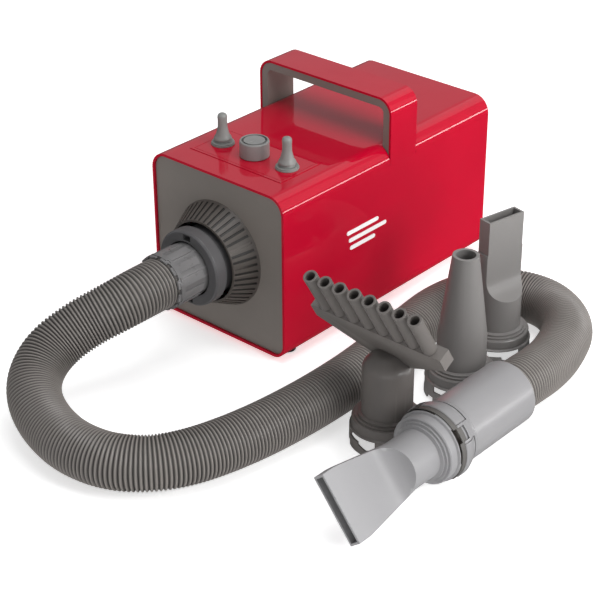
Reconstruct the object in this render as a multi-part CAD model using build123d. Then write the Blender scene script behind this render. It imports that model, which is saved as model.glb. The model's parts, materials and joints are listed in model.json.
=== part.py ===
from build123d import *
import os
from math import atan2, cos, degrees, hypot, pi, radians, sin, tan

# Air mover with a flexible hose, a handpiece and four nozzles.
# Millimetres. The origin is on the floor, under the middle of the housing.
# The hose outlet faces -Y, the air intake +Y, and the nozzles stand on the +X side.

# Housing
WIDTH = 180.0
HEIGHT = 180.0
LENGTH = 332.0
WALL = 2.8
TOP_ROUND = 19.0
BOTTOM_ROUND = 16.0
FOOT_H = 4.0
FOOT_R = 9.0
FOOT_X = 70.0
FOOT_Y = 140.0
PANEL_RECESS = 2.3
PANEL_T = 2.0
FRONT = -LENGTH / 2
BACK = LENGTH / 2
BASE_Z = FOOT_H
TOP_Z = FOOT_H + HEIGHT
MID_Z = FOOT_H + HEIGHT / 2

# Handle across the top
HANDLE_Y = 18.0
HANDLE_DEPTH = 42.0
HANDLE_TOP = 234.5
HANDLE_ROUND = 17.0
STRAP_T = 2.5
LINING_T = 8.5
NOTCH_Z = 163.0

# Controls
PLATE_T = 0.6
PLATE_Y = -108.5
CONTROL_Y = -109.0
TOGGLE_X = 44.0
TOGGLE_PIVOT_Z = TOP_Z + 1.6
BUSH_R = 5.9
KNOB_R = 15.2
KNOB_CAP_R = 10.8
KNOB_H = 18.0

# Air path: everything on it shares one axis along Y
AXIS_Z = 96.0
BEZEL_R = 57.0
BEZEL_TIP = -189.0
BEZEL_GROOVES = 46
COLLAR_R = 40.4
COLLAR_NECK = 36.0
COLLAR_BORE = 29.2
COLLAR_FRONT = -209.0
CUFF_R = 28.4
CUFF_BORE = 22.6
CUFF_END = -246.0
HOSE_R = 26.0
HOSE_WALL = 2.0
SHAFT_R = 4.0
FAN_R = 64.0
MOTOR_R = 50.0
DUCT_R = 50.0
INLET_AT = (-55.0, 22.0)

# Handpiece, lying along Y on its lock collar
HAND_X = 320.0
HAND_Z = 37.5
HAND_R = 32.0
HAND_REAR = -107.0
HAND_FRONT = -220.0
HOSE_END = -110.0
LOCK_R = 37.3
LOCK_TAB_AT = 81.5
LOCK_TAB_DEG = 62.0
SPIGOT_R = 29.5

# The socket that all four nozzles share
SKIRT_R = 35.2
SKIRT_BORE = 33.4
SKIRT_H = 18.0
FLANGE_R = 33.2
TUBE_R = 24.2
TUBE_BORE = 21.8
SLOT_Z = (11.5, 18.0)
FAN_TURN = 39.0
SLOT_DEG = 33.0
MOUNTED_Y = -209.0

# Nozzles standing on the floor: x, y and the turn about the vertical
COMB_AT = (250.0, -201.0, 5.0)
CONE_AT = (250.0, -87.0, -60.0)
FLAT_AT = (231.0, -3.0, -12.0)
CONE_H = 151.0
FLAT_H = 154.0
FAN_H = 146.0
COMB_COUNT = 8
COMB_PITCH = 17.07
COMB_TILT = 31.0
COMB_TUBE_R = 6.8
COMB_TUBE_BORE = 4.7
COMB_TUBE_LENGTH = 47.0
COMB_ROW_X = -3.0
COMB_BAR_Y = -9.0
COMB_BAR_Z = 121.3
COMB_BAR_HALF = 75.2
COMB_BAR_H = 15.0
COMB_BAR_T = 13.7

# The hose's route, from the cuff to the handpiece
HOSE_ROUTE = [
    (0, -246, 96), (0, -271, 96), (-8, -301, 89), (-24, -332, 76), (-34, -364, 60),
    (-26, -392, 46), (-4, -412, 36), (30, -424, 28), (72, -430, 26), (118, -420, 26),
    (154, -384, 26), (174, -320, 26), (183, -240, 26), (182, -152, 26), (170, -72, 26),
    (162, 2, 26), (185, 60, 26), (239, 77, 26), (288, 48, 26), (308, -6, 27),
    (316, -46, 31), (320, -81, 37.5), (320, -110, 37.5),
]

os.makedirs("parts", exist_ok=True)


# --- small helpers -----------------------------------------------------------

def block(x0, x1, y0, y1, z0, z1):
    size = (x1 - x0, y1 - y0, z1 - z0)
    return Pos((x0 + x1) / 2, (y0 + y1) / 2, (z0 + z1) / 2) * Box(*size)


def rod_z(r, z0, z1, x=0.0, y=0.0):
    return Pos(x, y, (z0 + z1) / 2) * Cylinder(r, z1 - z0)


def rod_y(r, y0, y1, x=0.0, z=AXIS_Z):
    return Pos(x, (y0 + y1) / 2, z) * Rot(90, 0, 0) * Cylinder(r, y1 - y0)


def ring_y(outer, inner, y0, y1, x=0.0, z=AXIS_Z):
    return rod_y(outer, y0, y1, x, z) - rod_y(inner, y0 - 1, y1 + 1, x, z)


def turned_y(profile, x=0.0, z=AXIS_Z):
    """A turned solid about a line along Y, from (radius, y) points."""
    face = make_face(Polyline(*[(r, y) for r, y in profile], close=True))
    return Pos(x, 0, z) * revolve(face, Axis.Y)


def turned_z(profile, x=0.0, y=0.0):
    """A turned solid about a vertical line, from (radius, z) points."""
    face = make_face(Polyline(*[(r, 0, z) for r, z in profile], close=True))
    return Pos(x, y, 0) * revolve(face, Axis.Z)


def sector(r0, r1, z0, z1, start, sweep_deg):
    """A piece of a ring about Z, from one angle through a sweep."""
    face = make_face(Polyline((r0, 0, z0), (r1, 0, z0), (r1, 0, z1), (r0, 0, z1), close=True))
    return Rot(0, 0, start) * revolve(face, Axis.Z, sweep_deg)


def along_y(shape, x=0.0, z=AXIS_Z):
    """Lays a shape that was made about Z along -Y, at a line through x and z."""
    return Pos(x, 0, z) * Rot(90, 0, 0) * shape


def fuse(shapes):
    whole = shapes[0]
    for shape in shapes[1:]:
        whole = whole + shape
    return whole


def save(name, *shapes):
    solids = [solid for shape in shapes for solid in shape.solids()]
    kept = solids[0] if len(solids) == 1 else Compound(children=solids)
    export_step(kept, f"parts/{name}.step")


# --- housing -----------------------------------------------------------------

def housing_outline(inset):
    half_w = WIDTH / 2 - inset
    face = Plane.XZ * Pos(0, MID_Z) * Rectangle(2 * half_w, HEIGHT - 2 * inset)
    corners = face.vertices().sort_by(Axis.Z)
    face = fillet(corners[2:], TOP_ROUND - inset)
    corners = face.vertices().sort_by(Axis.Z)
    return fillet(corners[:2], BOTTOM_ROUND - inset)


def housing_block(inset, y0, y1):
    return Pos(0, y1, 0) * extrude(housing_outline(inset), y1 - y0)


def make_shell():
    shell = housing_block(0, FRONT, BACK) - housing_block(WALL, FRONT - 1, BACK + 1)
    y0 = HANDLE_Y - HANDLE_DEPTH / 2 - 0.3
    y1 = HANDLE_Y + HANDLE_DEPTH / 2 + 0.3
    for side in (-1, 1):
        x0, x1 = sorted((side * (WIDTH / 2 - STRAP_T - LINING_T - 0.3), side * (WIDTH / 2 + 1)))
        shell = shell - block(x0, x1, y0, y1, NOTCH_Z, TOP_Z + 1)
        shell = shell - rod_z(BUSH_R + 0.2, TOP_Z - 10, TOP_Z + 1, side * TOGGLE_X, CONTROL_Y)
    shell = shell - rod_z(4.8, TOP_Z - 10, TOP_Z + 1, 0, CONTROL_Y)
    for x in (-FOOT_X, FOOT_X):
        for y in (-FOOT_Y, FOOT_Y):
            shell = shell - rod_z(2.1, BASE_Z - 1, BASE_Z + 5, x, y)
    return shell


def make_front_panel():
    y0 = FRONT + PANEL_RECESS
    return housing_block(WALL + 0.05, y0, y0 + PANEL_T) - rod_y(46.5, y0 - 1, y0 + PANEL_T + 1)


def make_rear_panel():
    y1 = BACK - PANEL_RECESS
    panel = housing_block(WALL + 0.05, y1 - PANEL_T, y1) - rod_y(62, y1 - PANEL_T - 1, y1 + 1)
    x, z = INLET_AT
    panel = panel - block(x - 15, x + 15, y1 - 5, y1 + 5, z - 10, z + 10)
    for x in (-78, 78):
        for z in (18, 174):
            panel = panel - rod_y(2.1, y1 - 5, y1 + 5, x, z)
    return panel


def screw_y(x, y, z, out):
    """A pan-head screw along Y whose head stands on the plane y."""
    head = rod_y(4.0, *sorted((y, y + out * 2.2)), x, z)
    shank = rod_y(2.0, *sorted((y, y - out * 8)), x, z)
    slot = block(x - 4.5, x + 4.5, *sorted((y + out * 1.2, y + out * 3)), z - 0.5, z + 0.5)
    return head + shank - slot


def make_rear_screws():
    y1 = BACK - PANEL_RECESS
    return [screw_y(x, y1, z, 1) for x in (-78, 78) for z in (18, 174)]


def make_feet():
    feet = []
    for x in (-FOOT_X, FOOT_X):
        for y in (-FOOT_Y, FOOT_Y):
            feet.append(rod_z(FOOT_R, 0, FOOT_H, x, y))
    return feet


def make_foot_studs():
    """A stud bonded to the top of each foot, with its nut inside the housing."""
    studs = []
    for x in (-FOOT_X, FOOT_X):
        for y in (-FOOT_Y, FOOT_Y):
            nut = rod_z(4.0, BASE_Z + WALL, BASE_Z + WALL + 3.2, x, y)
            studs.append(nut + rod_z(2.0, FOOT_H, BASE_Z + 7.2, x, y))
    return studs


def handle_arch(inset, depth):
    """The handle's solid arch, inset all round from its outer face."""
    half_w = WIDTH / 2 - inset
    top = HANDLE_TOP - inset
    face = Plane.XZ * Pos(0, (NOTCH_Z + top) / 2) * Rectangle(2 * half_w, top - NOTCH_Z)
    upper = face.vertices().sort_by(Axis.Z)[2:]
    face = fillet(upper, max(HANDLE_ROUND - inset, 4.0))
    return Pos(0, HANDLE_Y + depth / 2, 0) * extrude(face, depth)


def make_handle_band():
    band = handle_arch(0, HANDLE_DEPTH) - handle_arch(STRAP_T, HANDLE_DEPTH + 2)
    y0 = HANDLE_Y - HANDLE_DEPTH / 2
    y1 = HANDLE_Y + HANDLE_DEPTH / 2
    band = band - block(-70, 70, y0 - 1, y1 + 1, NOTCH_Z - 1, 200)
    inner = WIDTH / 2 - WALL
    for side in (-1, 1):
        x0, x1 = sorted((side * (inner - 2.5), side * (inner - 0.1)))
        lug = block(x0, x1, y0, y1, NOTCH_Z - 30, NOTCH_Z + 8)
        a, b = sorted((side * (inner - 2.5), side * (WIDTH / 2 - 1)))
        bridge = block(a, b, y0, y1, NOTCH_Z + 0.1, NOTCH_Z + 8)
        band = band + lug + bridge
        for y in (HANDLE_Y - 12, HANDLE_Y + 12):
            hole = Pos(side * inner, y, NOTCH_Z - 15) * Rot(0, 90, 0) * Cylinder(2.2, 20)
            band = band - hole
    return band


def make_handle_lining():
    depth = HANDLE_DEPTH - 1.0
    lining = handle_arch(STRAP_T, depth) - handle_arch(STRAP_T + LINING_T, depth + 2)
    between = block(-70, 70, -30, 60, NOTCH_Z - 1, TOP_Z + 0.2)
    return lining - block(-WIDTH, WIDTH, -30, 60, NOTCH_Z - 1, NOTCH_Z + 8.2) - between


def make_handle_screws():
    screws = []
    inner = WIDTH / 2 - WALL - 2.5
    for side in (-1, 1):
        for y in (HANDLE_Y - 12, HANDLE_Y + 12):
            shank = Pos(side * (inner + 1), y, NOTCH_Z - 15) * Rot(0, 90, 0) * Cylinder(2.0, 2.0)
            head = Pos(side * (inner - 1.0), y, NOTCH_Z - 15) * Rot(0, 90, 0) * Cylinder(3.8, 2.0)
            screws.append(head + shank)
    return screws


def make_side_badge():
    """Three rounded bars of different lengths, a plain air-flow sign."""
    bars = []
    for length, y, z in ((50, -46, 111), (60, -38, 102), (40, -46, 93)):
        bar = Plane.YZ * Pos(y, z) * SlotOverall(length, 4.5)
        bars.append(Pos(WIDTH / 2, 0, 0) * extrude(bar, 0.6))
    return bars


def make_power_inlet():
    x, z = INLET_AT
    y = BACK - PANEL_RECESS
    body = block(x - 14.5, x + 14.5, y - 22, y, z - 9.5, z + 9.5)
    flange = block(x - 18, x + 18, y, y + 2.5, z - 12, z + 12)
    cup = block(x - 12, x + 12, y - 14, y + 3, z - 6.5, z + 6.5)
    inlet = body + flange - cup
    for dx in (-6, 0, 6):
        inlet = inlet + block(x + dx - 1, x + dx + 1, y - 15, y - 2, z - 3, z + 3)
    return inlet


# --- controls ----------------------------------------------------------------

def make_control_plate():
    plate = Pos(0, PLATE_Y, TOP_Z + PLATE_T / 2) * Box(124, 60, PLATE_T)
    for x in (-TOGGLE_X, TOGGLE_X):
        plate = plate - rod_z(BUSH_R + 0.2, TOP_Z - 1, TOP_Z + 2, x, CONTROL_Y)
    plate = plate - rod_z(4.8, TOP_Z - 1, TOP_Z + 2, 0, CONTROL_Y)
    frame_outer = Pos(0, PLATE_Y, TOP_Z + PLATE_T) * Box(118, 54, 0.5)
    frame_inner = Pos(0, PLATE_Y, TOP_Z + PLATE_T) * Box(116.8, 52.8, 1)
    return plate - (frame_outer - frame_inner)


def make_toggle_base(x):
    """The boot's fixed rim and the dome that the boot rocks on."""
    z = TOP_Z + PLATE_T
    rim = [
        (6.2, z), (12.15, z), (12.15, z + 1.6), (11.2, z + 1.8), (11.2, z + 2.3), (11.7, z + 2.5),
        (11.4, z + 3.0), (6.2, z + 3.0),
    ]
    base = turned_z(rim, x, CONTROL_Y)
    ball = Pos(x, CONTROL_Y, TOGGLE_PIVOT_Z) * Sphere(8.5)
    dome = ball - Pos(x, CONTROL_Y, TOGGLE_PIVOT_Z) * Sphere(7.0)
    dome = dome - block(x - 12, x + 12, CONTROL_Y - 12, CONTROL_Y + 12, z - 20, z + 0.2)
    return base + dome - rod_z(5.0, z, z + 12, x, CONTROL_Y)


def make_toggle_boot(x):
    z = TOP_Z
    outer = [
        (0, z + 8), (9.3, z + 6.4), (9.3, z + 7.2), (8.7, z + 8.6), (7.3, z + 10.8), (6.3, z + 13.8),
        (5.4, z + 17.4), (4.9, z + 20.6), (4.8, z + 26.5), (5.05, z + 29.8), (4.8, z + 32.0),
        (3.7, z + 33.6), (1.9, z + 34.3), (0, z + 34.5),
    ]
    boot = turned_z(outer, x, CONTROL_Y)
    boot = boot - Pos(x, CONTROL_Y, TOGGLE_PIVOT_Z) * Sphere(8.9)
    return boot - rod_z(2.4, z, z + 27, x, CONTROL_Y)


def make_toggle_lever(x):
    """The metal lever with the cross pin that it tilts on."""
    ball = Pos(x, CONTROL_Y, TOGGLE_PIVOT_Z) * Sphere(4.0)
    pin = Pos(x, CONTROL_Y, TOGGLE_PIVOT_Z) * Rot(0, 90, 0) * Cylinder(1.2, 11.0)
    return ball + pin + rod_z(2.4, TOP_Z - 4, TOP_Z + 27, x, CONTROL_Y)


def make_switch_body(x):
    body = Pos(x, CONTROL_Y, TOP_Z - 17) * Box(18, 27, 20)
    bush = rod_z(BUSH_R, TOP_Z - 8, TOP_Z + 3.8, x, CONTROL_Y)
    body = body + bush - rod_z(4.3, TOP_Z - 12, TOP_Z + 5, x, CONTROL_Y)
    body = body - Pos(x, CONTROL_Y, TOGGLE_PIVOT_Z) * Rot(0, 90, 0) * Cylinder(1.25, 14.0)
    for dy in (-8, 0, 8):
        body = body + Pos(x, CONTROL_Y + dy, TOP_Z - 31) * Box(5, 0.8, 9)
    return body


def make_speed_pot():
    body = rod_z(12, TOP_Z - 22, TOP_Z - 8, 0, CONTROL_Y)
    body = body + rod_z(4.5, TOP_Z - 8.5, TOP_Z + 3, 0, CONTROL_Y)
    body = body - rod_z(3.05, TOP_Z - 18, TOP_Z + 4, 0, CONTROL_Y)
    for dx in (-5, 0, 5):
        body = body + Pos(dx, CONTROL_Y - 14, TOP_Z - 15) * Box(1.2, 6, 0.6)
    return body


def make_speed_knob():
    z0 = TOP_Z + PLATE_T + 0.4
    z1 = TOP_Z + KNOB_H
    r = KNOB_R
    profile = [
        (0, z0 + 5), (12, z0 + 5), (12, z0), (r, z0), (r, z1 - 1.2), (r - 0.8, z1),
        (13.0, z1), (12.8, z1 - 3.4), (KNOB_CAP_R + 0.1, z1 - 3.4),
        (KNOB_CAP_R + 0.1, z1 - 4.4), (0, z1 - 4.4),
    ]
    return turned_z(profile, 0, CONTROL_Y) - rod_z(3.0, z0, z1 - 6, 0, CONTROL_Y)


def make_knob_cap():
    z1 = TOP_Z + KNOB_H
    cap = rod_z(KNOB_CAP_R, z1 - 4.4, z1 - 0.2, 0, CONTROL_Y)
    return cap - Pos(0, CONTROL_Y - 5, z1) * Box(1.2, 9, 1.0)


# --- outlet and hose ---------------------------------------------------------

def make_outlet_bezel():
    """A hollow cone with radial grooves that run from its lip to its tip."""
    y0 = FRONT + PANEL_RECESS
    tip = BEZEL_TIP
    r = BEZEL_R
    profile = [
        (r, y0), (r - 1.0, y0 - 2.0), (44.6, tip), (42.2, tip), (42.2, tip + 3),
        (49.0, y0 - 2.0), (49.0, y0),
    ]
    bezel = turned_y(profile)
    slant = degrees(atan2(r - 45.6, y0 - 2.0 - tip))
    cutters = []
    for i in range(BEZEL_GROOVES):
        groove = Pos(51.6, 0, (y0 - tip) / 2 + 1.6) * Rot(0, -slant, 0) * Box(5.0, 2.7, 25.0)
        cutters.append(Rot(0, 0, i * 360 / BEZEL_GROOVES) * groove)
    comb = Compound(children=[s for c in cutters for s in c.solids()])
    return bezel - Pos(0, y0, AXIS_Z) * Rot(90, 0, 0) * comb


def make_outlet_collar():
    """The short wide collar on its narrower neck, with two bayonet notches."""
    f = COLLAR_FRONT
    r = COLLAR_R
    profile = [
        (COLLAR_BORE, -176), (COLLAR_BORE, f), (r - 1.6, f), (r, f + 2.0), (r, f + 14.0),
        (COLLAR_NECK, f + 14.0), (COLLAR_NECK, -176),
    ]
    collar = turned_y(profile)
    for side in (-1, 1):
        z0, z1 = sorted((AXIS_Z + side * 31.0, AXIS_Z + side * 37.0))
        collar = collar - block(-4.8, 4.8, f - 1, f + 12, z0, z1)
    return collar


def make_outlet_pipe():
    profile = [
        (DUCT_R - 1.5, -150.0), (DUCT_R - 1.5, -152.0), (27.0, -176.0), (27.0, -197.5),
        (25.0, -197.5), (25.0, -175.5), (DUCT_R - 4.0, -150.0),
    ]
    return turned_y(profile)


def make_hose_cuff():
    cuff = ring_y(CUFF_R - 0.9, CUFF_BORE, CUFF_END + 0.0, -198.0)
    for i in range(12):
        rib = Pos(CUFF_R - 1.0, 0, 25.5) * Box(1.8, 8.6, 35.0)
        cuff = cuff + Pos(0, -206, AXIS_Z) * Rot(90, 0, 0) * Rot(0, 0, 15 + i * 30) * rib
    rim = ring_y(CUFF_R + 0.5, HOSE_R - 1.0, CUFF_END, CUFF_END + 5.0)
    cuff = cuff + rim
    for i in range(8):
        gap = Pos(CUFF_R + 1.0, 0, 39.2) * Box(2.4, 5.0, 2.2)
        cuff = cuff - Pos(0, -206, AXIS_Z) * Rot(90, 0, 0) * Rot(0, 0, 22.5 + i * 45) * gap
    return cuff - rod_y(CUFF_BORE, CUFF_END - 1, -190)


def make_hose():
    """The hose as a plain tube along straight runs joined by tangent arcs."""
    points = [Vector(*p) for p in HOSE_ROUTE]
    runs = [points[i + 1] - points[i] for i in range(len(points) - 1)]
    radii = []
    for before, after in zip(runs, runs[1:]):
        turn = radians(before.get_angle(after))
        radii.append(0.45 * min(before.length, after.length) / tan(turn / 2))
    print("hose runs", [round(run.length) for run in runs])
    print("hose radii", [round(radius) for radius in radii])
    path = FilletPolyline(*points, radius=radii)
    start = Plane(origin=points[0], z_dir=runs[0])
    section = start * (Circle(HOSE_R) - Circle(HOSE_R - HOSE_WALL))
    tube = sweep(section, path)
    ideal = pi * (HOSE_R**2 - (HOSE_R - HOSE_WALL) ** 2) * path.length
    print("hose length", round(path.length), "volume over section times length", round(tube.volume / ideal, 4))
    return tube


def make_hose_swivel():
    return ring_y(28.0, 23.0, -124.0, HOSE_END, HAND_X, HAND_Z)


# --- motor, fan and heater ---------------------------------------------------

def make_fan_shroud():
    profile = [
        (40, 36), (FAN_R, 36), (FAN_R, 95), (22, 95), (22, 93.5), (FAN_R - 1.5, 93.5),
        (FAN_R - 1.5, 37.5), (40, 37.5),
    ]
    return turned_y(profile)


def make_impeller():
    plate = ring_y(56, SHAFT_R, 56, 58)
    hub = ring_y(9, SHAFT_R, 56, 80)
    front = ring_y(56, 24, 82, 83.2)
    blades = []
    for i in range(9):
        blade = Pos(39, 0, -70) * Rot(0, 0, 24) * Box(34, 1.4, 24.4)
        blades.append(Pos(0, 0, AXIS_Z) * Rot(90, 0, 0) * Rot(0, 0, i * 40) * blade)
    return fuse([plate, hub, front] + blades) & rod_y(56, 50, 90)


def make_motor_can():
    can = ring_y(MOTOR_R, MOTOR_R - 2, -46, 35.5)
    end = ring_y(MOTOR_R - 1, 11.05, 28.5, 35.5) - ring_y(MOTOR_R - 6, 16, 25, 31)
    for i in range(6):
        hole = Pos(30, 0, -32) * Cylinder(8, 20)
        end = end - Pos(0, 0, AXIS_Z) * Rot(90, 0, 0) * Rot(0, 0, i * 60) * hole
    return can + end


def make_motor_end_bell():
    bell = ring_y(MOTOR_R, 11.05, -55, -46.2)
    for i in range(6):
        hole = Pos(31, 0, 50) * Cylinder(8.5, 20)
        bell = bell - Pos(0, 0, AXIS_Z) * Rot(90, 0, 0) * Rot(0, 0, i * 60 + 30) * hole
    return bell


def make_stator():
    core = ring_y(MOTOR_R - 2.3, 30.0, -28, 20)
    for dz in (-1, 1):
        z = AXIS_Z + dz * 37
        core = core + block(-22, 22, -36, 26, z - 5, z + 5)
    return core - rod_y(30.0, -50, 50)


def make_armature():
    core = ring_y(29.2, SHAFT_R + 0.02, -26, 18)
    for i in range(12):
        slot = Pos(28, 0, 4) * Box(7, 2.2, 60)
        core = core - Pos(0, 0, AXIS_Z) * Rot(90, 0, 0) * Rot(0, 0, i * 30) * slot
    return core + ring_y(13, SHAFT_R + 0.02, -42, -26)


def make_motor_bearings():
    return [ring_y(11, SHAFT_R + 0.03, y, y + 7) for y in (-54.5, 28.5)]


def make_carbon_brushes():
    """Each brush in its holder, just clear of the commutator."""
    brushes = []
    for side in (-1, 1):
        x0, x1 = sorted((side * 13.4, side * 46))
        holder = block(x0, x1, -41, -31, AXIS_Z - 5, AXIS_Z + 5)
        brushes.append(holder)
    return brushes


def make_mount_rings():
    return [
        ring_y(MOTOR_R + 8, MOTOR_R + 0.1, -42, -30),
        ring_y(FAN_R + 7, FAN_R + 0.1, 58, 72),
    ]


def make_motor_cradle():
    floor_z = BASE_Z + WALL
    plate = block(-60, 60, -50, 84, floor_z + 0.1, floor_z + 2.4)
    cradle = plate
    for y0, y1, r in ((-41, -31, MOTOR_R + 8.1), (59, 71, FAN_R + 7.1)):
        saddle = block(-76, 76, y0, y1, floor_z + 0.1, AXIS_Z - 6) - rod_y(r, y0 - 1, y1 + 1)
        cradle = cradle + saddle
    return cradle & housing_block(WALL + 0.1, -60, 90)


def make_heater_duct():
    duct = ring_y(DUCT_R - 2.0, DUCT_R - 3.2, -149.9, -58)
    return duct + ring_y(DUCT_R + 3, DUCT_R - 3.2, -60, -58) + ring_y(DUCT_R + 3, DUCT_R - 3.2, -149.9, -148)


def make_heater_frame():
    wide = block(-32.6, 32.6, -138, -72, AXIS_Z - 0.8, AXIS_Z + 0.8)
    tall = block(-0.8, 0.8, -138, -72, AXIS_Z - 32.6, AXIS_Z + 32.6)
    end = ring_y(DUCT_R - 3.4, 30, -74, -72)
    return wide + tall + end


def make_heater_coil():
    turns = []
    for i in range(7):
        y = -132 + i * 9
        turns.append(Pos(0, y, AXIS_Z) * Rot(90, 0, 0) * Torus(34.1, 1.4))
    return turns


def make_thermostat():
    return Pos(0, -100, AXIS_Z + DUCT_R + 2.2) * (Cylinder(7, 8) + Pos(0, 0, 5) * Box(16, 5, 2))


def make_control_board():
    board = block(-30, 50, 100, 101.6, 14, 34)
    for x, w, h in ((-20, 12, 12), (2, 16, 14), (26, 10, 10), (42, 6, 12)):
        board = board + block(x - w / 2, x + w / 2, 101.6, 101.6 + h, 17, 31)
    return board


def make_board_standoffs():
    posts = []
    for x in (-26, 46):
        for y in (96.0, 106.0):
            posts.append(block(x - 2, x + 2, y - 2, y + 2, BASE_Z + WALL + 0.1, 13.9))
    return posts


# --- intake ------------------------------------------------------------------

def make_intake_ring():
    y1 = BACK - PANEL_RECESS
    profile = [
        (61.8, y1 - 4), (61.8, y1), (65.7, y1), (65.7, y1 + 9), (62.4, y1 + 9), (62.4, y1 + 1.7),
        (60.0, y1 + 1.7), (60.0, y1 - 4),
    ]
    ring = turned_y(profile)
    for i in range(4):
        bar = Box(2.4, 121.0, 1.6)
        ring = ring + Pos(0, y1 - 1, AXIS_Z) * Rot(90, 0, 0) * Rot(0, 0, i * 45) * bar
    return ring


def make_filter_foam():
    y = BACK - PANEL_RECESS + 1.8
    return rod_y(61.6, y, y + 9.0)


def make_filter_cover():
    """A cap with slatted face that pulls off over the intake ring."""
    y0 = BACK - PANEL_RECESS + 0.6
    y1 = y0 + 13.0
    cap = ring_y(69.0, 66.1, y0, y1) + rod_y(69.0, y1 - 2.0, y1)
    for i in range(11):
        z = AXIS_Z - 50 + i * 10
        half = (59.0**2 - (z - AXIS_Z) ** 2) ** 0.5
        cap = cap - block(-half, half, y1 - 4, y1 + 1, z - 2.5, z + 2.5)
    return cap + block(-2, 2, y1 - 2.0, y1, AXIS_Z - 62, AXIS_Z + 62)


# --- handpiece ---------------------------------------------------------------

def make_handpiece_tube():
    r = HAND_R
    profile = [
        (26.5, HAND_REAR), (r - 1.0, HAND_REAR), (r, HAND_REAR - 1.0), (r, -198.0), (29.6, -198.0),
        (29.6, -128.5), (24.0, -128.5), (24.0, -124.4), (28.3, -124.4), (28.3, HOSE_END + 0.4),
        (26.5, HOSE_END + 0.4),
    ]
    return turned_y(profile, HAND_X, HAND_Z)


def make_lock_collar():
    """The flared front ring with four spring tabs that hold the nozzle."""
    f = -HAND_FRONT
    profile = [
        (29.7, 198.0), (HAND_R, 198.0), (33.2, 203.0), (35.6, 208.0), (LOCK_R, 213.0), (LOCK_R, f - 1.0),
        (LOCK_R - 0.6, f), (36.45, f), (36.45, f - 4.0), (35.6, f - 4.0), (35.6, 208.6),
        (31.0, 205.0), (29.7, 205.0),
    ]
    collar = turned_z(profile)
    for i in range(4):
        start = LOCK_TAB_AT + i * 90 - LOCK_TAB_DEG / 2
        collar = collar - sector(30.5, 40, 201.8, 203.6, start, LOCK_TAB_DEG)
        collar = collar - sector(30.5, 40, 201.8, f + 1, start, 1.3)
        collar = collar - sector(30.5, 40, 201.8, f + 1, start + LOCK_TAB_DEG - 1.3, 1.3)
        collar = collar - sector(34.5, 40, f - 7.5, f + 1, LOCK_TAB_AT - 45 + i * 90 - 10.5, 21)
    return along_y(collar, HAND_X, HAND_Z)


def make_nozzle_spigot():
    """The inner tube that the nozzle's socket slides over, with four lugs."""
    front = -MOUNTED_Y + SKIRT_H - 0.4
    spigot = turned_z([(27.0, 150), (29.4, 150), (SPIGOT_R, 206), (SPIGOT_R, front), (27.0, front)])
    z0 = -MOUNTED_Y + SLOT_Z[0] + 0.7
    for i in range(4):
        spigot = spigot + sector(28.5, 34.4, z0, z0 + 3.6, i * 90 - 6, 12)
    return along_y(spigot, HAND_X, HAND_Z)


def make_lip_seal():
    """The rubber lip that stands out of the lock collar round the nozzle's skirt."""
    f = -HAND_FRONT
    seal = turned_z([(35.5, f - 4.0), (36.4, f - 4.0), (36.4, f + 5.5), (35.5, f + 5.5)])
    for i in range(4):
        seal = seal - sector(35, 37, f + 2.0, f + 6, LOCK_TAB_AT - 45 + i * 90 - 11, 22)
    return along_y(seal, HAND_X, HAND_Z)


# --- nozzles, each made standing on its socket's open end ---------------------

def socket_cutters(turn):
    """Four locking slots with pointed windows, and four notches in the rim."""
    low, high = SLOT_Z
    window = [(-9.5, high), (9.5, high), (9.5, 9.0), (0, 5.6), (-9.5, 9.0)]
    cutters = []
    for i in range(4):
        a = turn + i * 90
        outline = make_face(Polyline(*[(0, y, z) for y, z in window], close=True))
        prism = Pos(31, 0, 0) * extrude(outline, 6, dir=(1, 0, 0))
        cutters.append(Rot(0, 0, a) * prism)
        cutters.append(sector(31, 37, low, high, a - SLOT_DEG - 8, SLOT_DEG + 8))
        cutters.append(sector(31, 37, -1, 4.4, a - 58, 16))
    return cutters


def nozzle_socket(top, turn):
    """The socket's outer skin up to a height, still solid above the skirt."""
    outer = [
        (0, 0), (SKIRT_R, 0), (SKIRT_R, 19.0), (FLANGE_R, 20.0), (FLANGE_R, 28.0), (32.4, 29.0),
        (30.0, 29.0), (30.0, 31.0), (27.4, 31.0), (27.4, 33.0), (TUBE_R, 34.0), (TUBE_R, top), (0, top),
    ]
    socket = turned_z(outer) - rod_z(SKIRT_BORE, -1, SKIRT_H)
    for cutter in socket_cutters(turn):
        socket = socket - cutter
    return socket


def stand(shape, place):
    x, y, turn = place
    return Pos(x, y, 0) * Rot(0, 0, turn) * shape


def make_cone_nozzle():
    tip_r = 12.9
    tip_bore = 9.6
    cone = nozzle_socket(65.0, 0) + turned_z([(0, 64), (TUBE_R, 65.0), (tip_r, CONE_H), (0, CONE_H)])
    bore = [
        (0, SKIRT_H - 1), (TUBE_BORE, SKIRT_H - 1), (TUBE_BORE, 65.0), (tip_bore, CONE_H - 6),
        (tip_bore, CONE_H + 1), (0, CONE_H + 1),
    ]
    return stand(cone - turned_z(bore), CONE_AT)


def scooped(half_thick, low, high, top, r=30.0):
    """A block whose two broad sides curve in from a round tube to a flat mouth."""
    t = half_thick
    line = Polyline((-t, high), (-t, top), (t, top), (t, high))
    right = Spline((t, high), (r, low), tangents=((0, -1), (1, -0.35)))
    left = Spline((-r, low), (-t, high), tangents=((1, 0.35), (0, 1)))
    base = Polyline((r, low), (r, 20), (-r, 20), (-r, low))
    face = make_face(Plane.XZ * (line + right + base + left))
    return extrude(face, 40, both=True)


def flat_solid(radius, half_thick, half_wide, top, flare=0.0, shift=0.0, start_r=30.0):
    """A round tube that turns into a flat mouth, as the overlap of two shapes."""
    tube = turned_z([(0, 20), (radius, 20), (radius, 62), (radius + flare, top), (0, top)])
    body = tube & scooped(half_thick, 66 + shift, 92 + shift, top, start_r)
    return body & block(-40, 40, -half_wide, half_wide, 10, top)


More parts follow.
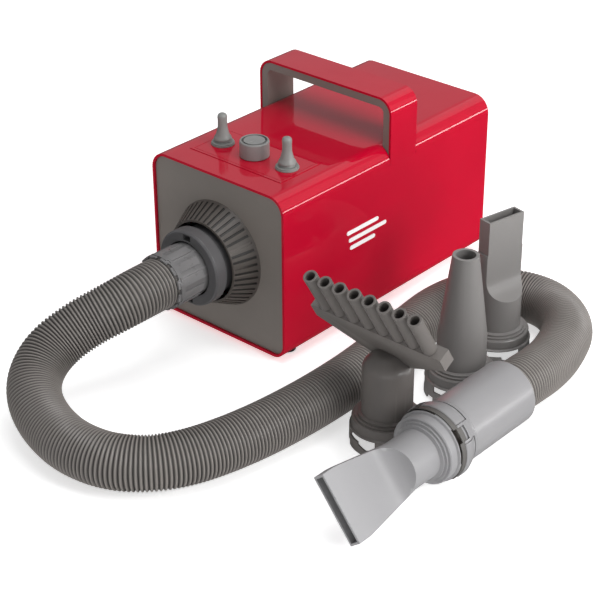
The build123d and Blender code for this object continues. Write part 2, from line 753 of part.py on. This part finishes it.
def make_flat_nozzle():
    outer = flat_solid(TUBE_R, 7.3, 24.2, FLAT_H) + nozzle_socket(60.0, 75)
    taper = block(-30, 30, -22.4, 22.4, 110, FLAT_H + 1)
    outer = outer - (block(-30, 30, -30, 30, 118, FLAT_H + 1) - taper)
    inner = flat_solid(TUBE_BORE, 5.1, 20.0, FLAT_H + 1, 0.0, -1.8, 29.0) + rod_z(TUBE_BORE, SKIRT_H - 1, 60)
    return stand(outer - inner, FLAT_AT)


def make_fan_nozzle():
    """The wide fan on the handpiece, its mouth turned about the tube's axis."""
    outer = flat_solid(TUBE_R, 6.5, 33.5, FAN_H, 12.0) + nozzle_socket(60.0, -4.5)
    inner = flat_solid(TUBE_BORE, 4.3, 31.3, FAN_H + 1, 11.8, -1.8, 29.0) + rod_z(TUBE_BORE, SKIRT_H - 1, 60)
    nozzle = Pos(0, 0, -MOUNTED_Y) * Rot(0, 0, FAN_TURN) * (outer - inner)
    return along_y(nozzle, HAND_X, HAND_Z)


def comb_direction():
    return Vector(0, -sin(radians(COMB_TILT)), cos(radians(COMB_TILT)))


def comb_plate(inset, root):
    """The tilted flat plate that spreads the air: wide at the top, narrow at its root."""
    half = COMB_BAR_HALF - inset
    top = COMB_BAR_H / 2 - inset
    outline = [
        (-half, top), (half, top), (half, -9.5 + inset), (19.0 - inset, root + 5.5 + inset),
        (11.0 - inset / 2, root), (inset / 2 - 11.0, root), (inset - 19.0, root + 5.5 + inset),
        (-half, -9.5 + inset),
    ]
    way = comb_direction()
    thick = COMB_BAR_T - 2 * inset
    origin = Vector(COMB_ROW_X, COMB_BAR_Y, COMB_BAR_Z)
    plane = Plane(origin=origin, x_dir=(1, 0, 0), z_dir=Vector(1, 0, 0).cross(way))
    plate = extrude(plane * make_face(Polyline(*outline, close=True)), thick / 2, both=True)
    return plate


def comb_dome(inset):
    """The round tube's closed shoulder, from just under it to its crown."""
    r = TUBE_R - inset
    curve = Spline((r, 79), (r - 2.2, 86), (r - 9.2, 93), (0, 97 - inset), tangents=((0, 1), (-1, 0)))
    rest = Polyline((0, 97 - inset), (0, 77), (r, 77), (r, 79))
    return revolve(make_face(Plane.XZ * (curve + rest)), Axis.Z)


def make_comb_nozzle():
    body = nozzle_socket(78.0, COMB_AT[2]) + comb_dome(0) + comb_plate(0, -46.0)
    inner = comb_plate(2.2, -43.0) + comb_dome(2.4) + rod_z(TUBE_BORE, SKIRT_H - 1, 79.0)
    body = body - inner
    for hole in comb_rods(COMB_TUBE_BORE, -4, 4):
        body = body - hole
    return comb_stand(body)


def comb_rods(radius, start, end):
    """Rods along the tubes' direction, measured from the bar's top face."""
    way = comb_direction()
    rods = []
    for i in range(COMB_COUNT):
        x = COMB_ROW_X + (i - (COMB_COUNT - 1) / 2) * COMB_PITCH
        foot = Vector(x, COMB_BAR_Y, COMB_BAR_Z) + way * (COMB_BAR_H / 2 + start)
        rods.append(Plane(origin=foot, z_dir=way) * Pos(0, 0, (end - start) / 2) * Cylinder(radius, end - start))
    return rods


def comb_stand(shape):
    x, y, _ = COMB_AT
    return Pos(x, y, 0) * shape


def make_comb_tubes():
    outers = comb_rods(COMB_TUBE_R, 0, COMB_TUBE_LENGTH)
    bores = comb_rods(COMB_TUBE_BORE, -1, COMB_TUBE_LENGTH + 1)
    return [comb_stand(outer - bore) for outer, bore in zip(outers, bores)]


# How far the fan's mouth is turned from upright


def main():
    save("shell", make_shell())
    save("front_panel", make_front_panel())
    save("rear_panel", make_rear_panel())
    save("rear_screws", *make_rear_screws())
    save("feet", *make_feet())
    save("foot_studs", *make_foot_studs())
    save("handle_band", make_handle_band())
    save("handle_lining", make_handle_lining())
    save("handle_screws", *make_handle_screws())
    save("side_badge", *make_side_badge())
    save("power_inlet", make_power_inlet())
    save("control_plate", make_control_plate())
    for name, x in (("left", -TOGGLE_X), ("right", TOGGLE_X)):
        save(f"toggle_base_{name}", make_toggle_base(x))
        save(f"toggle_boot_{name}", make_toggle_boot(x))
        save(f"toggle_lever_{name}", make_toggle_lever(x))
        save(f"switch_body_{name}", make_switch_body(x))
    save("speed_pot", make_speed_pot())
    save("speed_shaft", rod_z(3.0, TOP_Z - 17, TOP_Z + KNOB_H - 6.2, 0, CONTROL_Y))
    save("speed_knob", make_speed_knob())
    save("knob_cap", make_knob_cap())
    save("outlet_bezel", make_outlet_bezel())
    save("outlet_collar", make_outlet_collar())
    save("outlet_pipe", make_outlet_pipe())
    save("hose_cuff", make_hose_cuff())
    save("hose", make_hose())
    save("hose_swivel", make_hose_swivel())
    save("fan_shroud", make_fan_shroud())
    save("impeller", make_impeller())
    save("motor_can", make_motor_can())
    save("motor_end_bell", make_motor_end_bell())
    save("stator", make_stator())
    save("armature", make_armature())
    save("motor_shaft", rod_y(SHAFT_R, -58, 88))
    save("motor_bearings", *make_motor_bearings())
    save("carbon_brushes", *make_carbon_brushes())
    save("mount_rings", *make_mount_rings())
    save("motor_cradle", make_motor_cradle())
    save("heater_duct", make_heater_duct())
    save("heater_frame", make_heater_frame())
    save("heater_coil", *make_heater_coil())
    save("thermostat", make_thermostat())
    save("control_board", make_control_board())
    save("board_standoffs", *make_board_standoffs())
    save("intake_ring", make_intake_ring())
    save("filter_foam", make_filter_foam())
    save("filter_cover", make_filter_cover())
    save("handpiece_tube", make_handpiece_tube())
    save("lock_collar", make_lock_collar())
    save("nozzle_spigot", make_nozzle_spigot())
    save("lip_seal", make_lip_seal())
    save("fan_nozzle", make_fan_nozzle())
    save("cone_nozzle", make_cone_nozzle())
    save("flat_nozzle", make_flat_nozzle())
    save("comb_nozzle", make_comb_nozzle())
    save("comb_tubes", *make_comb_tubes())


main()
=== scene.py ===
import json
import math

import bmesh
import bpy
from mathutils import Matrix, Vector


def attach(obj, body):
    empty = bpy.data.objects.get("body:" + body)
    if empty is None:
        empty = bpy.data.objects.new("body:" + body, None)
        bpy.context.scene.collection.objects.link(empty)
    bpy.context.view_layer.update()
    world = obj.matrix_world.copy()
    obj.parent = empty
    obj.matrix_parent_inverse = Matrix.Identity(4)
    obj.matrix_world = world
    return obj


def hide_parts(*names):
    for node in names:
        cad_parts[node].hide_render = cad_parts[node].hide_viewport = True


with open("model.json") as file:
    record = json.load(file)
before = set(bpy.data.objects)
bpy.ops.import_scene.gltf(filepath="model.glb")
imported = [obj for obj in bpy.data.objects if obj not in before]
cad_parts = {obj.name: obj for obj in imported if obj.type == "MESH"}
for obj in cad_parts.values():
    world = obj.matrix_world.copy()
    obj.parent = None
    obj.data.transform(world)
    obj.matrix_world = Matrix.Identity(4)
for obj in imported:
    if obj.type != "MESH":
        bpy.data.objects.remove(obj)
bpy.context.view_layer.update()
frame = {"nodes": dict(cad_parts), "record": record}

NODES = frame["nodes"]
MM = 0.001

# The hose's route from the cuff to the handpiece, as in part.py, in metres
HOSE_ROUTE = [
    (0, -.246, .096), (0, -.271, .096), (-.008, -.301, .089), (-.024, -.332, .076),
    (-.034, -.364, .060), (-.026, -.392, .046), (-.004, -.412, .036), (.030, -.424, .028),
    (.072, -.430, .026), (.118, -.420, .026), (.154, -.384, .026), (.174, -.320, .026),
    (.183, -.240, .026), (.182, -.152, .026), (.170, -.072, .026), (.162, .002, .026),
    (.185, .060, .026), (.239, .077, .026), (.288, .048, .026), (.308, -.006, .027),
    (.316, -.046, .031), (.320, -.081, .0375), (.320, -.110, .0375),
]
HOSE_R = 0.026
HOSE_SIDES = 56
RIB_PITCH = 0.0036
RIB_DEPTH = 0.0021
STEPS_PER_RIB = 6
GROOVE_POWER = 1.4

WELD_DISTANCE = 2e-6
FLAT_ANGLE = math.radians(0.4)
SHARP_ANGLE = math.radians(28.0)
FLOOR_HALF = 40.0


# --- camera ------------------------------------------------------------------

def make_camera():
    """The main view: about 42 degrees round and 30 degrees up."""
    back = Vector((0.57714, -0.64809, 0.49688))
    right = Vector((0.74835, 0.66329, -0.00409))
    up = back.cross(right)
    data = bpy.data.cameras.new("camera")
    data.lens = 104.05
    data.sensor_width = 36.0
    data.clip_end = 100.0
    camera = bpy.data.objects.new("camera", data)
    turn = Matrix((right, up, back)).transposed().to_4x4()
    camera.matrix_world = Matrix.Translation((1.08828, -1.26353, 0.92489)) @ turn
    bpy.context.collection.objects.link(camera)
    bpy.context.scene.camera = camera


# --- materials ---------------------------------------------------------------

class Surface:
    """One procedural material, built round a Principled shader."""

    def __init__(self, name, colour, roughness, **fixed):
        self.material = bpy.data.materials.new(name)
        self.material.use_nodes = True
        self.tree = self.material.node_tree
        self.shader = self.tree.nodes["Principled BSDF"]
        self.shader.inputs["Base Color"].default_value = (*colour, 1.0)
        self.shader.inputs["Roughness"].default_value = roughness
        for socket, value in fixed.items():
            self.shader.inputs[socket.replace("_", " ")].default_value = value
        self.place = self.add("ShaderNodeTexCoord").outputs["Object"]
        self.normal = None

    def add(self, kind, **values):
        node = self.tree.nodes.new(kind)
        for key, value in values.items():
            if hasattr(node, key):
                setattr(node, key, value)
            else:
                node.inputs[key.replace("_", " ")].default_value = value
        return node

    def join(self, out, target):
        self.tree.links.new(out, target)

    def noise(self, size, detail=3.0, roughness=0.5, stretch=(1, 1, 1)):
        """Noise whose features are about size metres across."""
        spread = self.add("ShaderNodeMapping")
        spread.inputs["Scale"].default_value = stretch
        self.join(self.place, spread.inputs["Vector"])
        node = self.add("ShaderNodeTexNoise", Scale=1.0 / size, Detail=detail, Roughness=roughness)
        self.join(spread.outputs["Vector"], node.inputs["Vector"])
        return node.outputs["Fac"]

    def ramp(self, value, low, high, dark, light):
        """Maps a value between two limits to a colour between two colours."""
        node = self.add("ShaderNodeValToRGB")
        first, last = node.color_ramp.elements
        first.position, last.position = low, high
        first.color, last.color = (*dark, 1.0), (*light, 1.0)
        self.join(value, node.inputs["Fac"])
        return node.outputs["Color"]

    def tint(self, value, colour, spread):
        """Base colour that varies a little round one colour."""
        dark = [c * (1 - spread) for c in colour]
        light = [c * (1 + spread) for c in colour]
        out = self.ramp(value, 0.3, 0.7, dark, light)
        self.join(out, self.shader.inputs["Base Color"])
        return out

    def blend(self, factor, under, over):
        """Mixes a fixed colour over another, by a factor."""
        mix = self.add("ShaderNodeMix", data_type="RGBA")
        self.join(factor, mix.inputs["Factor"])
        self.join(under, mix.inputs["A"])
        mix.inputs["B"].default_value = (*over, 1.0)
        self.join(mix.outputs["Result"], self.shader.inputs["Base Color"])
        return mix.outputs["Result"]

    def rough(self, value, low, high):
        """Roughness that varies between two limits."""
        node = self.add("ShaderNodeMapRange")
        node.inputs["From Min"].default_value = 0.3
        node.inputs["From Max"].default_value = 0.7
        node.inputs["To Min"].default_value = low
        node.inputs["To Max"].default_value = high
        self.join(value, node.inputs["Value"])
        self.join(node.outputs["Result"], self.shader.inputs["Roughness"])

    def bump(self, height, strength, distance):
        node = self.add("ShaderNodeBump")
        node.inputs["Strength"].default_value = strength
        node.inputs["Distance"].default_value = distance
        self.join(height, node.inputs["Height"])
        if self.normal is not None:
            self.join(self.normal, node.inputs["Normal"])
        self.normal = node.outputs["Normal"]
        self.join(self.normal, self.shader.inputs["Normal"])

    def worn_edges(self, base, colour):
        """Paler rubbed edges, where the surface is most convex."""
        point = self.add("ShaderNodeNewGeometry").outputs["Pointiness"]
        ramp = self.ramp(point, 0.52, 0.60, (0, 0, 0), (0.6, 0.6, 0.6))
        return self.blend(ramp, base, colour)


def gloss_paint():
    colour = (0.50, 0.001, 0.022)
    s = Surface("red_gloss_paint", colour, 0.34, Coat_Weight=0.9, Coat_Roughness=0.025, Coat_IOR=1.5)
    s.shader.inputs["Specular IOR Level"].default_value = 0.04
    s.tint(s.noise(0.09, 3.0), colour, 0.045)
    s.rough(s.noise(0.03, 5.0), 0.30, 0.40)
    s.bump(s.noise(0.0035, 2.0), 0.012, 0.0004)
    return s.material


def moulded(name, colour, roughness, depth=0.00004, spread=0.04, streak=1.0):
    """Moulded plastic: a fine grain, slight colour drift and uneven polish."""
    s = Surface(name, colour, roughness)
    base = s.tint(s.noise(0.035, 4.0, 0.6, (1, 1, streak)), colour, spread)
    pale = [min(1.0, c * 1.35 + 0.02) for c in colour]
    s.worn_edges(base, pale)
    s.rough(s.noise(0.011, 6.0, 0.6), roughness - 0.03, roughness + 0.04)
    s.bump(s.noise(0.0018, 2.0), 0.20, depth)
    s.bump(s.noise(0.014, 2.0), 0.10, 0.0002)
    return s.material


def metal(name, colour, roughness, stretch=(1, 1, 1)):
    s = Surface(name, colour, roughness, Metallic=1.0)
    s.tint(s.noise(0.006, 5.0, 0.6, stretch), colour, 0.10)
    s.rough(s.noise(0.002, 4.0, 0.6, stretch), roughness - 0.08, roughness + 0.10)
    s.bump(s.noise(0.0008, 2.0, 0.5, stretch), 0.2, 0.00003)
    return s.material


def open_foam():
    colour = (0.012, 0.012, 0.013)
    s = Surface("open_foam", colour, 0.95)
    cells = s.add("ShaderNodeTexVoronoi", Scale=520.0)
    s.join(s.place, cells.inputs["Vector"])
    shade = s.ramp(cells.outputs["Distance"], 0.1, 0.7, (0.002, 0.002, 0.002), (0.05, 0.05, 0.052))
    s.join(shade, s.shader.inputs["Base Color"])
    s.bump(cells.outputs["Distance"], 0.8, 0.0008)
    return s.material


def groove_shaded(name, colour, roughness, crest_highlight=1.0):
    """Satin plastic with painted shade down in its grooves and, when the crest factor is above one,
    a painted highlight on the ridges between them.
    """
    s = Surface(name, colour, roughness)
    base = s.tint(s.noise(0.05, 4.0, 0.6), colour, 0.05)
    # Pointiness paints shade into the grooves and, with a crest factor above one, a painted
    # highlight onto the ridges.
    convexity = s.add("ShaderNodeNewGeometry").outputs["Pointiness"]
    shade = s.ramp(convexity, 0.44, 0.56, (0.22, 0.22, 0.22), (crest_highlight, crest_highlight * 0.98, crest_highlight * 0.957))
    mix = s.add("ShaderNodeMix", data_type="RGBA", blend_type="MULTIPLY")
    mix.inputs["Factor"].default_value = 1.0
    s.join(base, mix.inputs["A"])
    s.join(shade, mix.inputs["B"])
    s.join(mix.outputs["Result"], s.shader.inputs["Base Color"])
    s.rough(s.noise(0.02, 5.0, 0.6), roughness - 0.06, roughness + 0.07)
    s.bump(s.noise(0.0012, 3.0), 0.25, 0.00008)
    return s.material


def make_materials():
    return {
        "red_gloss": gloss_paint(),
        "panel_grey": moulded("panel_grey", (0.195, 0.172, 0.154), 0.42),
        "nozzle_grey": moulded("nozzle_grey", (0.205, 0.196, 0.190), 0.32, spread=0.025, streak=0.3),
        "hose_grey": groove_shaded("hose_plastic", (0.150, 0.140, 0.133), 0.41, crest_highlight=1.6),
        # A paler copy of the nozzle plastic: painted highlight for the brighter light on the
        # handpiece and its lock collar.
        "hand_grey_lit": moulded(
            "hand_grey_lit", (0.275, 0.270, 0.276), 0.31, depth=0.00001, spread=0.02, streak=0.3,
        ),
        # A paler copy of the nozzle plastic: painted highlight for the brighter light on the fan
        # nozzle.
        "fan_grey_lit": moulded("fan_grey_lit", (0.290, 0.286, 0.293), 0.46, spread=0.02, streak=0.3),
        # A darker copy of the cuff plastic: painted shade on the outlet collar.
        "collar_grey_shaded": moulded("collar_grey_shaded", (0.092, 0.090, 0.093), 0.32, depth=0.00001),
        # A darker copy of the nozzle plastic: painted shade for the comb nozzle, which faces away
        # from the light.
        "comb_grey_shaded": moulded("comb_grey_shaded", (0.138, 0.126, 0.118), 0.34, spread=0.025, streak=0.3),
        "cuff_grey": moulded("cuff_grey", (0.150, 0.147, 0.148), 0.29, depth=0.00001),
        # A darker copy of the panel plastic, with painted shade in its grooves, for the outlet
        # bezel.
        "bezel_grey_shaded": groove_shaded("bezel_grey_shaded", (0.120, 0.106, 0.096), 0.42),
        "control_grey": moulded("control_grey", (0.24, 0.24, 0.235), 0.34, spread=0.03),
        "boot_grey": moulded("boot_grey", (0.235, 0.24, 0.23), 0.40, spread=0.03),
        "mark_white": moulded("mark_white", (0.92, 0.86, 0.87), 0.45, spread=0.02),
        "foot_rubber": moulded("foot_rubber", (0.012, 0.012, 0.012), 0.75, depth=0.0001),
        "black_plastic": moulded("black_plastic", (0.014, 0.014, 0.014), 0.5),
        "screw_steel": metal("screw_steel", (0.55, 0.55, 0.54), 0.30),
        "motor_steel": metal("motor_steel", (0.30, 0.30, 0.31), 0.42, (1, 8, 1)),
        "cast_metal": metal("cast_metal", (0.58, 0.58, 0.57), 0.45),
        "copper": metal("copper_wire", (0.72, 0.30, 0.16), 0.30),
        "mica": moulded("mica", (0.46, 0.40, 0.30), 0.55, spread=0.15),
        "board_green": moulded("board_green", (0.01, 0.10, 0.03), 0.35),
        "foam_black": open_foam(),
        "seal_rubber": moulded("seal_rubber", (0.080, 0.075, 0.070), 0.6),
    }


# --- geometry helpers --------------------------------------------------------

def body_of(node):
    for body, nodes in frame["record"]["behaviour"]["bodies"].items():
        if node in nodes:
            return body
    raise KeyError(node)


def slot_of(node):
    for part in frame["record"]["subparts"]:
        if part["node"] == node:
            return part["material_slot"]
    raise KeyError(node)


def mesh_object(name, verts, faces):
    mesh = bpy.data.meshes.new(name)
    mesh.from_pydata([tuple(v) for v in verts], [], faces)
    mesh.validate()
    obj = bpy.data.objects.new(name, mesh)
    bpy.context.collection.objects.link(obj)
    return obj


def stands_for(obj, material, *nodes):
    """Gives a piece its material and puts it in the place of CAD nodes."""
    obj.data.materials.clear()
    obj.data.materials.append(material)
    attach(obj, body_of(nodes[0]))
    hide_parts(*nodes)
    return obj


def soften(node, width, material):
    """A copy of a CAD node whose sharp edges are rounded off by a small bevel."""
    mesh = NODES[node].data.copy()
    mesh.name = node + "_soft"
    obj = bpy.data.objects.new(node + "_soft", mesh)
    bpy.context.collection.objects.link(obj)
    bm = bmesh.new()
    bm.from_mesh(mesh)
    bmesh.ops.remove_doubles(bm, verts=bm.verts, dist=WELD_DISTANCE)
    bmesh.ops.dissolve_limit(bm, angle_limit=FLAT_ANGLE, verts=bm.verts, edges=bm.edges)
    bm.to_mesh(mesh)
    bm.free()
    for name in list(mesh.attributes.keys()):
        if name == "custom_normal":
            mesh.attributes.remove(mesh.attributes[name])
    mesh.shade_smooth()
    mesh.set_sharp_from_angle(angle=SHARP_ANGLE)
    bevel = obj.modifiers.new("edges", "BEVEL")
    bevel.width = width
    bevel.segments = 2
    bevel.limit_method = "ANGLE"
    bevel.angle_limit = SHARP_ANGLE
    bevel.harden_normals = True
    bevel.use_clamp_overlap = True
    return stands_for(obj, material, node)


def sweep_rings(name, centres, radius_at, sides):
    """A tube of rings round a line of points, each ring square to the line."""
    verts, faces = [], []
    tangent = (centres[1] - centres[0]).normalized()
    side = tangent.orthogonal().normalized()
    for i, centre in enumerate(centres):
        ahead = centres[min(i + 1, len(centres) - 1)] - centres[max(i - 1, 0)]
        turn = tangent.rotation_difference(ahead.normalized())
        side = turn @ side
        tangent = ahead.normalized()
        other = tangent.cross(side)
        for k in range(sides):
            a = 2 * math.pi * k / sides
            verts.append(centre + (side * math.cos(a) + other * math.sin(a)) * radius_at(i))
    for i in range(len(centres) - 1):
        for k in range(sides):
            n = (k + 1) % sides
            faces.append((i * sides + k, i * sides + n, (i + 1) * sides + n, (i + 1) * sides + k))
    return mesh_object(name, verts, faces)


# --- hose --------------------------------------------------------------------

def route_points(step):
    """Even points along the hose's smooth centre line."""
    data = bpy.data.curves.new("hose_route", "CURVE")
    data.dimensions = "3D"
    data.resolution_u = 40
    spline = data.splines.new("NURBS")
    spline.points.add(len(HOSE_ROUTE) - 1)
    for point, place in zip(spline.points, HOSE_ROUTE):
        point.co = (*place, 1.0)
    spline.order_u = 3
    spline.use_endpoint_u = True
    guide = bpy.data.objects.new("hose_route", data)
    mesh = bpy.data.meshes.new_from_object(guide)
    line = [v.co.copy() for v in mesh.vertices]
    bpy.data.meshes.remove(mesh)
    bpy.data.objects.remove(guide)
    far = [0.0]
    for a, b in zip(line, line[1:]):
        far.append(far[-1] + (b - a).length)
    count = round(far[-1] / step)
    even, j = [], 0
    for i in range(count + 1):
        want = far[-1] * i / count
        while j < len(far) - 2 and far[j + 1] < want:
            j += 1
        share = (want - far[j]) / max(far[j + 1] - far[j], 1e-9)
        even.append(line[j].lerp(line[j + 1], min(1.0, share)))
    return even


def make_hose(material):
    """The ribbed hose: each rib is a round crest, with a narrow groove between."""
    centres = route_points(RIB_PITCH / STEPS_PER_RIB)

    def radius_at(i):
        wave = 0.5 - 0.5 * math.cos(2 * math.pi * i / STEPS_PER_RIB)
        return HOSE_R - RIB_DEPTH * wave**GROOVE_POWER

    hose = sweep_rings("ribbed_hose", centres, radius_at, HOSE_SIDES)
    for face in hose.data.polygons:
        face.use_smooth = True
    stands_for(hose, material, "hose")


# --- lights and floor ---------------------------------------------------------

def area_light(name, place, target, size, power):
    data = bpy.data.lights.new(name, "AREA")
    data.shape = "RECTANGLE"
    data.size, data.size_y = size
    data.energy = power
    light = bpy.data.objects.new(name, data)
    light.location = place
    way = Vector(target) - Vector(place)
    light.rotation_euler = way.to_track_quat("-Z", "Y").to_euler()
    light.visible_camera = False
    bpy.context.collection.objects.link(light)


def make_world():
    """A pale dome that is darker below the horizon."""
    world = bpy.data.worlds.new("studio")
    bpy.context.scene.world = world
    world.use_nodes = True
    tree = world.node_tree
    back = tree.nodes["Background"]
    place = tree.nodes.new("ShaderNodeTexCoord")
    split = tree.nodes.new("ShaderNodeSeparateXYZ")
    ramp = tree.nodes.new("ShaderNodeValToRGB")
    shift = tree.nodes.new("ShaderNodeMapRange")
    shift.inputs["From Min"].default_value = -1.0
    tree.links.new(place.outputs["Generated"], split.inputs["Vector"])
    tree.links.new(split.outputs["Z"], shift.inputs["Value"])
    tree.links.new(shift.outputs["Result"], ramp.inputs["Fac"])
    tree.links.new(ramp.outputs["Color"], back.inputs["Color"])
    low, high = ramp.color_ramp.elements
    low.position, low.color = 0.44, (0.10, 0.10, 0.10, 1)
    high.position, high.color = 0.62, (0.86, 0.86, 0.87, 1)
    back.inputs["Strength"].default_value = 0.43


def make_floor():
    """A pale table, softly lit from under its surface so that shadows stay light."""
    far = FLOOR_HALF
    verts = [(-far, -far, 0), (far, -far, 0), (far, far, 0), (-far, far, 0)]
    floor = mesh_object("floor", verts, [(0, 1, 2, 3)])
    s = Surface("pale_floor", (0.95, 0.95, 0.95), 0.9)
    s.tint(s.noise(0.5, 3.0), (0.95, 0.95, 0.95), 0.01)
    s.shader.inputs["Specular IOR Level"].default_value = 0.0
    s.shader.inputs["Emission Color"].default_value = (1.0, 1.0, 1.0, 1.0)
    s.shader.inputs["Emission Strength"].default_value = 0.55
    floor.data.materials.append(s.material)
    floor.location.z = -0.0005
    floor.visible_glossy = False


def make_lights():
    area_light("overhead", (0.3, -0.1, 1.9), (0.1, -0.05, 0.0), (1.2, 1.2), 13.0)
    area_light("back_top", (0.1, 1.5, 1.6), (0.1, 0.0, 0.1), (1.2, 0.7), 1.5)
    area_light("back_left_panel", (-1.6, 1.8, 1.3), (0.0, 0.0, 0.18), (2.4, 1.4), 1.0)
    area_light("right_key", (1.7, 0.1, 0.9), (0.15, -0.1, 0.08), (0.8, 0.8), 18.0)
    area_light("nozzle_spark", (0.80, 0.45, 0.60), (0.30, -0.15, 0.06), (0.6, 0.6), 0.3)
    area_light("right_strip", (1.7, 1.35, 0.16), (0.1, 0.0, 0.15), (1.3, 0.16), 7.0)
    area_light("front_low", (1.0, -1.3, 0.25), (0.25, -0.2, 0.08), (0.9, 0.3), 1.4)


def main():
    bpy.context.scene.view_settings.view_transform = "Standard"
    make_camera()
    paints = make_materials()
    for node, obj in NODES.items():
        obj.data.materials.clear()
        obj.data.materials.append(paints[slot_of(node)])
    make_hose(paints["hose_grey"])
    for node, width in (
        ("shell", 0.8), ("front_panel", 0.3), ("rear_panel", 0.3), ("handle_band", 0.6),
        ("handle_lining", 0.5), ("filter_cover", 0.5), ("intake_ring", 0.3),
        ("nozzle_spigot", 0.3), ("cone_nozzle", 0.35), ("flat_nozzle", 0.35), ("speed_knob", 0.4),
        ("knob_cap", 0.25), ("power_inlet", 0.5), ("feet", 0.5), ("toggle_base_left", 0.3),
        ("toggle_base_right", 0.3), ("toggle_boot_left", 0.4), ("toggle_boot_right", 0.4),
    ):
        soften(node, width * MM, paints[slot_of(node)])
    soften("handpiece_tube", 0.4 * MM, paints["hand_grey_lit"])
    soften("lock_collar", 0.25 * MM, paints["hand_grey_lit"])
    soften("fan_nozzle", 0.35 * MM, paints["fan_grey_lit"])
    for node, width in (("comb_nozzle", 0.35), ("comb_tubes", 0.3)):
        soften(node, width * MM, paints["comb_grey_shaded"])
    soften("hose_cuff", 0.35 * MM, paints["cuff_grey"])
    soften("outlet_bezel", 0.12 * MM, paints["bezel_grey_shaded"])
    soften("outlet_collar", 0.5 * MM, paints["collar_grey_shaded"])
    make_world()
    make_floor()
    make_lights()


main()
